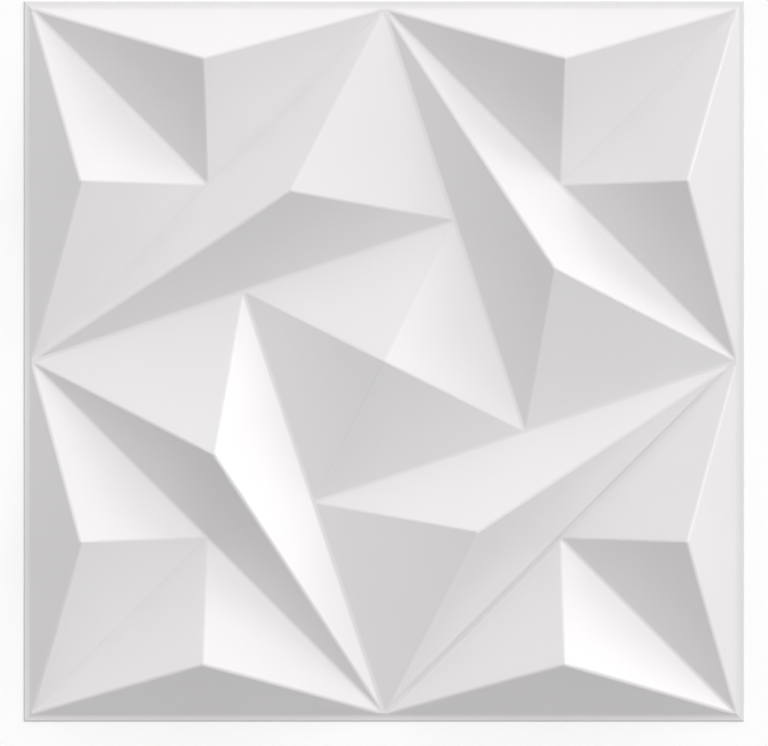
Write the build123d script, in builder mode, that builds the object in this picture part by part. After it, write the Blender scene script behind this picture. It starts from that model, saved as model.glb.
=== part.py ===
"""Decorative wall panel: one square of PVC sheet, thermoformed into a relief of low pyramids.

The panel lies on its back, face up, with its centre over the origin and the
underside of its rim on the plane Z = 0. All sizes are in millimetres.
"""

import os
from math import atan, cos

from build123d import *

# The sheet, with a flat rim all round
panel_side = 500.0
sheet_thickness = 1.0
rim_width = 5.0
edge_radius = 0.6

# Peaks that stand in pairs in the four corner squares
corner_peak_height = 30.0
corner_peak_inset = 39.2

# Blades that turn round the middle like a pinwheel
blade_peak_height = 30.0
blade_peak_along = 63.6
blade_peak_out = 115.4
valley_slope = 1 / 3

# Pyramid in the middle
centre_peak_height = 28.0

# Share by which the slope of a facet falls below its mean at the foot, and rises above it at the tip
facet_hollowing = 0.2

# Soft folds of the formed sheet
ridge_radius = 2.5
valley_radius = 2.2

QUARTERS = 4

# Plan of one quarter of the relief: the folds meet on the base plane at these points
relief_half = panel_side / 2 - rim_width
corner = Vector(-relief_half, relief_half)
top_middle = Vector(0, relief_half)
left_middle = Vector(-relief_half, 0)
square_middle = Vector(-relief_half / 2, relief_half / 2)
hub_x = relief_half * valley_slope * (1 - valley_slope) / (1 + valley_slope**2)
hub_y = valley_slope * (relief_half + hub_x)
hub_corner = Vector(hub_x, hub_y)
hub = [hub_corner.rotate(Axis.Z, 360 / QUARTERS * turn) for turn in range(QUARTERS)]

corner_peak_high = Vector(-relief_half / 2, relief_half - corner_peak_inset)
corner_peak_low = Vector(-relief_half + corner_peak_inset, relief_half / 2)
blade_peak = Vector(-blade_peak_along, blade_peak_out)

# Each peak: the outline of its foot, anticlockwise, the place of its tip in plan, and its height
quarter_peaks = [
    ((corner, square_middle, top_middle), corner_peak_high, corner_peak_height),
    ((corner, left_middle, square_middle), corner_peak_low, corner_peak_height),
    ((left_middle, hub_corner, top_middle), blade_peak, blade_peak_height),
]
centre_peak = (hub, Vector(0, 0), centre_peak_height)


def sides(foot):
    """The sides of a foot's outline, each as its two ends."""
    return [(foot[i - 1], foot[i]) for i in range(len(foot))]


def inward(side):
    """The level direction from a side of the foot towards the tip."""
    start, end = side
    return Vector(0, 0, 1).cross(end - start).normalized()


def reach(side, point):
    """How far inside a side of the foot a point lies in plan."""
    return inward(side).dot(point - side[0])


# The feet sink just far enough for the rounded valleys between neighbours to have room
steepest_mean = max(
    height / reach(side, tip)
    for foot, tip, height in quarter_peaks + [centre_peak]
    for side in sides(foot)
)
steepest_foot = atan(steepest_mean * (1 - facet_hollowing))
foot_sink = valley_radius * (1 / cos(steepest_foot) - 1)
foot_level = sheet_thickness - foot_sink


def under_facet(side, foot, tip, height):
    """Profile of all that lies under one facet: a parabola that leaves the foot and passes through the tip."""
    rise = height + foot_sink
    far = 1.1 * max(reach(side, point) for point in foot)
    share = far / reach(side, tip)
    tangent = rise * share * (1 - facet_hollowing) / 2
    top = rise * share * (1 - facet_hollowing + facet_hollowing * share)
    start, end = side
    upright = Plane(origin=start + Vector(0, 0, foot_level), x_dir=inward(side), z_dir=end - start)
    with BuildSketch(upright) as profile:
        with BuildLine():
            Bezier((0, 0), (far / 2, tangent), (far, top))
            Polyline((far, top), (far, 0), (0, 0))
        make_face()
    return profile.sketch


def peak_block(foot, tip, height):
    """One pyramid with hollow facets and sharp ridges, its foot sunk below the face of the flat sheet."""
    profiles = [under_facet(side, foot, tip, height) for side in sides(foot)]
    with BuildPart() as block:
        extrude(profiles[0], amount=2 * panel_side, both=True)
        for profile in profiles[1:]:
            extrude(profile, amount=2 * panel_side, both=True, mode=Mode.INTERSECT)
    return block.part


def softened(block):
    """A pyramid with its ridges rounded, as the outside of the drawn sheet has them."""
    with BuildPart() as form:
        add(block)
        ridges = form.edges().filter_by(Plane.XY, reverse=True)
        fillet(ridges, ridge_radius)
    return form.part


centre_block = peak_block(*centre_peak)
quarter_blocks = [peak_block(*peak) for peak in quarter_peaks]

# The mould that the sheet is drawn over, with sharp ridges
with BuildPart() as mould:
    with BuildSketch():
        Rectangle(panel_side, panel_side)
    extrude(amount=sheet_thickness)
    add(centre_block)
    with PolarLocations(0, QUARTERS):
        add(quarter_blocks)

# Everything under the face of the panel: the flat sheet with soft peaks on it, and rounded valleys
with BuildPart() as relief:
    with BuildSketch():
        Rectangle(panel_side, panel_side)
    extrude(amount=sheet_thickness)
    add(softened(centre_block))
    with PolarLocations(0, QUARTERS):
        add([softened(block) for block in quarter_blocks])
    flat_face = relief.faces().filter_by(Plane.XY).sort_by(Axis.Z)[-1]
    feet = [edge for loop in flat_face.inner_wires() for edge in loop.edges()]
    fillet(feet, valley_radius)

# The sheet: its back takes the form of the mould, one thickness under the face
with BuildPart() as panel:
    add(relief.part)
    with Locations((0, 0, -sheet_thickness)):
        add(mould.part, mode=Mode.SUBTRACT)
    flat_face = panel.faces().filter_by(Plane.XY).sort_by(Axis.Z)[-1]
    fillet(flat_face.outer_wire().edges(), edge_radius)

panel.part.label = "panel"
os.makedirs("parts", exist_ok=True)
export_step(panel.part, "parts/panel.step")
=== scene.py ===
from math import cos, pi, radians, sin, sqrt

import bmesh
import bpy
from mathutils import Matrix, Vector


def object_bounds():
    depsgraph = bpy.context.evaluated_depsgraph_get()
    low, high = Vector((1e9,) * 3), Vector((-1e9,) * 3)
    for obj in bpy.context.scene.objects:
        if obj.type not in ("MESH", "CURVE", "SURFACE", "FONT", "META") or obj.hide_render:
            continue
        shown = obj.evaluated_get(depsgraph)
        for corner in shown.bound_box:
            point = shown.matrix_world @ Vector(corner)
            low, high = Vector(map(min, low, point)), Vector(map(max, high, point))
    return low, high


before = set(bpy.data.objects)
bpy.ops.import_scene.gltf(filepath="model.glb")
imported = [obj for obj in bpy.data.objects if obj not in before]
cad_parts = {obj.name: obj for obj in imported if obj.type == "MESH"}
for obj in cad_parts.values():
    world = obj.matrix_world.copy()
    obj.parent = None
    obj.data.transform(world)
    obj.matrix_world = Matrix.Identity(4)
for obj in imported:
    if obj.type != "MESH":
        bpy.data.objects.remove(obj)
cad_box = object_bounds()

# Panel
# One square of rigid white PVC sheet about 1 mm thick, drawn hot over a mould into low hollow pyramids.
# Forming leaves its satin skin with a faint orange peel, a fine grain and a slight unevenness of gloss.
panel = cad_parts["panel"]
pvc = bpy.data.materials.new("white_pvc_satin")
pvc.use_nodes = True
skin_nodes = pvc.node_tree.nodes
skin_links = pvc.node_tree.links
skin = skin_nodes["Principled BSDF"]
skin.inputs["IOR"].default_value = 1.5
place = skin_nodes.new("ShaderNodeTexCoord").outputs["Object"]


def feed(socket, value):
    """Give an input of the skin a number, or link it to an earlier result."""
    if isinstance(value, bpy.types.NodeSocket):
        skin_links.new(value, socket)
    else:
        socket.default_value = value


def unevenness(spots_per_metre, detail):
    """A random value that wanders over the sheet, mostly between NOISE_LOW and NOISE_HIGH."""
    noise = skin_nodes.new("ShaderNodeTexNoise")
    noise.inputs["Scale"].default_value = spots_per_metre
    noise.inputs["Detail"].default_value = detail
    skin_links.new(place, noise.inputs["Vector"])
    return noise.outputs["Fac"]


def reckoned(operation, first, second=0.0, third=0.0):
    """What one step of arithmetic gives at each spot of the skin, from numbers or earlier results."""
    step = skin_nodes.new("ShaderNodeMath")
    step.operation = operation
    for socket, value in zip(step.inputs, (first, second, third)):
        feed(socket, value)
    return step.outputs["Value"]


def as_share(value):
    """A result held between none and all."""
    return reckoned("MINIMUM", reckoned("MAXIMUM", value), 1.0)


def shaped(facing, height, unit, strength):
    """The way the skin faces once a height, counted in a unit of so many metres, is added to it."""
    bump = skin_nodes.new("ShaderNodeBump")
    bump.inputs["Distance"].default_value = unit
    feed(bump.inputs["Strength"], strength)
    feed(bump.inputs["Height"], height)
    if facing is not None:
        skin_links.new(facing, bump.inputs["Normal"])
    return bump.outputs["Normal"]


# The white is a little cloudy, and the gloss varies with the grain.
NOISE_LOW = 0.3
NOISE_HIGH = 0.7
CLOUDS_PER_METRE = 14.0
CLOUD_DETAIL = 4.0
DEEPER_WHITE = (0.812, 0.796, 0.796, 1)
PALER_WHITE = (0.828, 0.812, 0.812, 1)
GRAINS_PER_METRE = 1100.0
GRAIN_DETAIL = 2.0
GLOSSIEST_ROUGHNESS = 0.28
DULLEST_ROUGHNESS = 0.35
tint = skin_nodes.new("ShaderNodeValToRGB")
deeper, paler = tint.color_ramp.elements
deeper.position = NOISE_LOW
deeper.color = DEEPER_WHITE
paler.position = NOISE_HIGH
paler.color = PALER_WHITE
skin_links.new(unevenness(CLOUDS_PER_METRE, CLOUD_DETAIL), tint.inputs["Fac"])
skin_links.new(tint.outputs["Color"], skin.inputs["Base Color"])
grain = unevenness(GRAINS_PER_METRE, GRAIN_DETAIL)
gloss = skin_nodes.new("ShaderNodeMapRange")
gloss.inputs["From Min"].default_value = NOISE_LOW
gloss.inputs["From Max"].default_value = NOISE_HIGH
gloss.inputs["To Min"].default_value = GLOSSIEST_ROUGHNESS
gloss.inputs["To Max"].default_value = DULLEST_ROUGHNESS
skin_links.new(grain, gloss.inputs["Value"])
skin_links.new(gloss.outputs["Result"], skin.inputs["Roughness"])

# The drawn sheet rolls softly from its rim into the relief, and its cut edge is rubbed round.
# The sizes of these fine forms are in metres, as the frame's are.
RIM_WIDTH = 0.005
ROLL_START = 0.0012
ROLL_WIDTH = 0.0044
ROLL_RISE = 0.0011
ROLL_BLEND = 0.0006
EDGE_REACH = 0.0013
EDGE_DROP = 0.0006
TRUE_HEIGHT = 1.0
FULL_STRENGTH = 1.0
half_side = cad_box[1][0]
spot = skin_nodes.new("ShaderNodeSeparateXYZ")
skin_links.new(place, spot.inputs["Vector"])
to_right = spot.outputs["X"]
to_top = spot.outputs["Y"]
outward = reckoned("MAXIMUM", reckoned("ABSOLUTE", to_right), reckoned("ABSOLUTE", to_top))
inset = reckoned("SUBTRACT", half_side, outward)
past_start = reckoned("MAXIMUM", reckoned("SUBTRACT", inset, ROLL_START))
in_roll = reckoned("SMOOTH_MIN", past_start, ROLL_WIDTH, ROLL_BLEND)
rolled = reckoned("MULTIPLY", reckoned("POWER", reckoned("DIVIDE", in_roll, ROLL_WIDTH), 2.0), ROLL_RISE)
near_edge = reckoned("MAXIMUM", reckoned("SUBTRACT", 1.0, reckoned("DIVIDE", inset, EDGE_REACH)))
rubbed = reckoned("MULTIPLY", reckoned("POWER", near_edge, 2.0), EDGE_DROP)
facing = shaped(None, reckoned("SUBTRACT", rolled, rubbed), TRUE_HEIGHT, FULL_STRENGTH)

# One diagonal valley, at the lower right of the photo, is drawn into a sharper crease on its inner side.
# Its lower half ends at a clear second edge, its upper half fades out, and both die away towards the rim.
CREASE_LEAD = 0.0025
CREASE_ENDING = 0.020
HALVES_BLEND = 0.020
valley_reach = half_side - RIM_WIDTH
past_valley = reckoned("SUBTRACT", reckoned("SUBTRACT", to_right, to_top), valley_reach)
past_lead = reckoned("MAXIMUM", reckoned("ADD", reckoned("DIVIDE", past_valley, sqrt(2)), CREASE_LEAD))
inside_rim = as_share(reckoned("DIVIDE", reckoned("SUBTRACT", inset, RIM_WIDTH), CREASE_ENDING))
along = reckoned("DIVIDE", reckoned("ADD", to_right, to_top), HALVES_BLEND)
upper_share = as_share(reckoned("ADD", along, 0.5))
lower_share = reckoned("SUBTRACT", 1.0, upper_share)
CREASE_HALVES = (
    # share of this half at each spot, width in metres, slope at its first edge, slope at its last
    (lower_share, 0.0038, -0.26, -0.65),
    (upper_share, 0.0120, -0.45, 0.0),
)
for share, width, first_slope, last_slope in CREASE_HALVES:
    strip = reckoned("MINIMUM", past_lead, width)
    steepening = (last_slope - first_slope) / (2 * width)
    fall = reckoned("MULTIPLY", strip, reckoned("MULTIPLY_ADD", strip, steepening, first_slope))
    facing = shaped(facing, fall, TRUE_HEIGHT, reckoned("MULTIPLY", share, inside_rim))

# Orange peel and grain lie over all of it.
PEEL_SPOTS_PER_METRE = 240.0
PEEL_DETAIL = 1.0
PEEL_HEIGHT = 0.00003
GRAIN_HEIGHT = 0.00002
FINE_STRENGTH = 0.5
peel = unevenness(PEEL_SPOTS_PER_METRE, PEEL_DETAIL)
facing = shaped(facing, peel, PEEL_HEIGHT, FINE_STRENGTH)
facing = shaped(facing, grain, GRAIN_HEIGHT, FINE_STRENGTH)
skin_links.new(facing, skin.inputs["Normal"])
panel.material_slots[0].material = pvc

# Floor
# A plain white board that the panel lies on, wide enough to have no edge in the picture.
# To the camera it is lifted a little, so that it reads as white where no shadow falls on it.
FLOOR_HALF = 4.0
CAMERA_LIFT = 0.217
board = bmesh.new()
bmesh.ops.create_grid(board, x_segments=1, y_segments=1, size=FLOOR_HALF)
floor_mesh = bpy.data.meshes.new("floor")
board.to_mesh(floor_mesh)
board.free()
floor = bpy.data.objects.new("floor", floor_mesh)
bpy.context.scene.collection.objects.link(floor)
white_board = bpy.data.materials.new("white_board")
white_board.use_nodes = True
board_nodes = white_board.node_tree.nodes
board_links = white_board.node_tree.links
face = board_nodes["Principled BSDF"]
face.inputs["Base Color"].default_value = (0.85, 0.85, 0.85, 1)
face.inputs["Roughness"].default_value = 0.9
face.inputs["Specular IOR Level"].default_value = 0.0
face.inputs["Emission Color"].default_value = (1, 1, 1, 1)
board_ray = board_nodes.new("ShaderNodeLightPath")
lift = board_nodes.new("ShaderNodeMath")
lift.operation = "MULTIPLY"
lift.inputs[1].default_value = CAMERA_LIFT
board_links.new(board_ray.outputs["Is Camera Ray"], lift.inputs[0])
board_links.new(lift.outputs["Value"], face.inputs["Emission Strength"])
floor_mesh.materials.append(white_board)

# Studio light
# One broad tent over the top left of the picture, and four smaller softboxes on the right of it.
# Each is a sun lamp as wide as the tent or box looks from the panel.
LAMP_DISTANCE = 2.0
LAMPS = (
    # name, azimuth, elevation and width across in degrees, brightness of a pure white that faces it
    ("tent", 120, 38, 120, 0.744),
    ("right_box", 20, 33, 24, 0.295),
    ("front_box", 315, 38, 40, 0.206),
    ("low_right_box", 30, 8, 24, 0.203),
    ("low_back_box", 60, 8, 24, 0.140),
)
for name, azimuth, elevation, width, brightness in LAMPS:
    lamp = bpy.data.lights.new(name, "SUN")
    lamp.angle = radians(width)
    lamp.energy = brightness * pi
    holder = bpy.data.objects.new(name, lamp)
    towards = Vector((cos(radians(azimuth)) * cos(radians(elevation)),
                      sin(radians(azimuth)) * cos(radians(elevation)),
                      sin(radians(elevation))))
    holder.location = towards * LAMP_DISTANCE
    holder.rotation_euler = towards.to_track_quat("Z", "Y").to_euler()
    bpy.context.scene.collection.objects.link(holder)

# Surroundings
# The white walls of the studio, seen past the floor.
# They are white to the camera, and a weak even fill for everything else.
FILL_STRENGTH = 0.078
WHITE_STRENGTH = 1.0
studio = bpy.data.worlds.new("studio")
bpy.context.scene.world = studio
studio.use_nodes = True
studio_nodes = studio.node_tree.nodes
studio_links = studio.node_tree.links
backdrop = studio_nodes["Background"]
backdrop.inputs["Color"].default_value = (1, 1, 1, 1)
studio_ray = studio_nodes.new("ShaderNodeLightPath")
fill = studio_nodes.new("ShaderNodeMapRange")
fill.inputs["To Min"].default_value = FILL_STRENGTH
fill.inputs["To Max"].default_value = WHITE_STRENGTH
studio_links.new(studio_ray.outputs["Is Camera Ray"], fill.inputs["Value"])
studio_links.new(fill.outputs["Result"], backdrop.inputs["Strength"])

# Camera
# Straight above the panel, with the photo's upper edge towards +Y.
# The middle of the panel lies a few pixels above the middle of the picture.
IMAGE_WIDTH_PX = 768
PANEL_LIFT_PX = 11.7
SENSOR_WIDTH_MM = 36.0
LENS_MM = 84.4
CAMERA_HEIGHT = 1.2505
lens_view = bpy.data.cameras.new("camera")
lens_view.sensor_width = SENSOR_WIDTH_MM
lens_view.lens = LENS_MM
lens_view.shift_y = -PANEL_LIFT_PX / IMAGE_WIDTH_PX
camera = bpy.data.objects.new("camera", lens_view)
camera.location = (0.0, 0.0, CAMERA_HEIGHT)
bpy.context.scene.collection.objects.link(camera)
bpy.context.scene.camera = camera

bpy.context.scene.view_settings.view_transform = "Standard"
